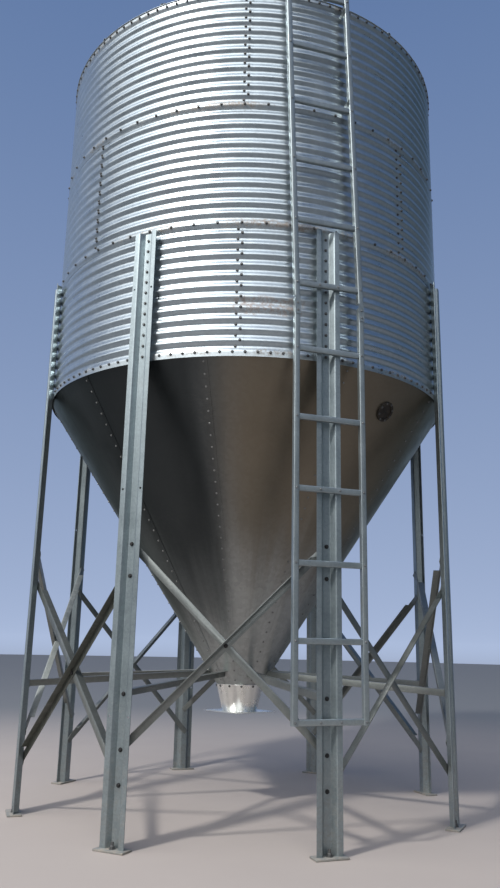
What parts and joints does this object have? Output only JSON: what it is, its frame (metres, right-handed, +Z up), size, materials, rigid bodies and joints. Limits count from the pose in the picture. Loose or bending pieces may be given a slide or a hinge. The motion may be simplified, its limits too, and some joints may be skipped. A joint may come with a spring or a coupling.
{
  "type": "feed silo",
  "caption": "Outdoor grain and feed bin: corrugated round wall on legs, with a conical hopper, outlet boot, ladder, cross bracing and a conical roof",
  "frame": {"origin": "the middle of the box round the part, on the ground under the leg plates", "axes": "+Z up, -Y towards the ladder, +X to the right when facing the ladder"},
  "size_m": [2.9, 2.9, 5.8475],
  "materials": {
    "wall_sheet": "zinc-coated corrugated sheet, satin with bright crests",
    "hopper_sheet": "zinc-coated smooth sheet, satin, darker",
    "roof_sheet": "zinc-coated sheet, satin",
    "outlet_metal": "zinc-coated sheet, smooth",
    "leg_metal": "hot-dip zinc coating, dull satin",
    "brace_metal": "hot-dip zinc coating, dull satin",
    "ladder_metal": "zinc coating, satin",
    "sight_window": "dark round window with a plain rim"
  },
  "bodies": {
    "root": {"brace_1": "brace_metal", "brace_2": "brace_metal", "brace_3": "brace_metal", "brace_4": "brace_metal", "brace_5": "brace_metal", "brace_6": "brace_metal", "brace_7": "brace_metal", "brace_8": "brace_metal", "filler_collar": "roof_sheet", "filler_lid": "roof_sheet", "hopper_1": "hopper_sheet", "hopper_2": "hopper_sheet", "hopper_3": "hopper_sheet", "hopper_4": "hopper_sheet", "hopper_5": "hopper_sheet", "ladder_lower": "ladder_metal", "ladder_upper": "ladder_metal", "leg_1": "leg_metal", "leg_2": "leg_metal", "leg_3": "leg_metal", "leg_4": "leg_metal", "leg_5": "leg_metal", "leg_6": "leg_metal", "leg_7": "leg_metal", "leg_8": "leg_metal", "outlet_boot": "outlet_metal", "outlet_flange": "outlet_metal", "roof": "roof_sheet", "sight_window": "sight_window", "strut_1": "brace_metal", "strut_2": "brace_metal", "strut_3": "brace_metal", "strut_4": "brace_metal", "strut_5": "brace_metal", "strut_6": "brace_metal", "strut_7": "brace_metal", "strut_8": "brace_metal", "wall_lower_1": "wall_sheet", "wall_lower_2": "wall_sheet", "wall_lower_3": "wall_sheet", "wall_lower_4": "wall_sheet", "wall_middle_1": "wall_sheet", "wall_middle_2": "wall_sheet", "wall_middle_3": "wall_sheet", "wall_middle_4": "wall_sheet", "wall_upper_1": "wall_sheet", "wall_upper_2": "wall_sheet", "wall_upper_3": "wall_sheet", "wall_upper_4": "wall_sheet"}
  },
  "joints": []
}
